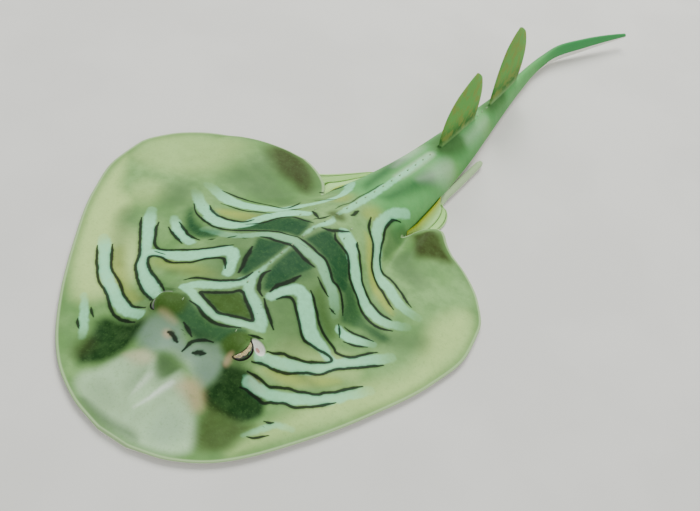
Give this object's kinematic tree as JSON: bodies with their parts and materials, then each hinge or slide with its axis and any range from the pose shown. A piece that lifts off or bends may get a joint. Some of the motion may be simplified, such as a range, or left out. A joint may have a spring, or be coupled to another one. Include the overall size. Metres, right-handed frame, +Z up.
{
  "type": "fiddler ray",
  "caption": "Life-size still model of an eastern fiddler ray lying flat, with a round banded disc, thick tapering tail, tall dorsal fins and a low tail fin.",
  "frame": {"origin": "middle of the underside of the whole animal's box, on the floor it lies on", "axes": "+Z up, the head points to -Y and the tail to +Y, and the ray's left side is +X"},
  "size_m": [0.4, 0.888, 0.118],
  "materials": {
    "skin": "moist fine-grained olive skin with pale green bands edged in dark green, and a white underside",
    "fin_skin": "thin smooth yellowish-olive fin skin",
    "eye": "wet glossy golden-brown iris with a dark pupil"
  },
  "bodies": {
    "root": {"head": "skin", "trunk": "skin", "pectoral_fin_left": "skin", "pectoral_fin_right": "skin", "tail_base": "skin", "tail_middle": "skin", "tail_rear": "skin", "tail_end": "skin", "pelvic_fin_left": "fin_skin", "pelvic_fin_right": "fin_skin", "clasper_left": "fin_skin", "clasper_right": "fin_skin", "dorsal_fin_front": "fin_skin", "dorsal_fin_rear": "fin_skin", "caudal_fin": "fin_skin", "eye_left": "eye", "eye_right": "eye"}
  },
  "joints": []
}
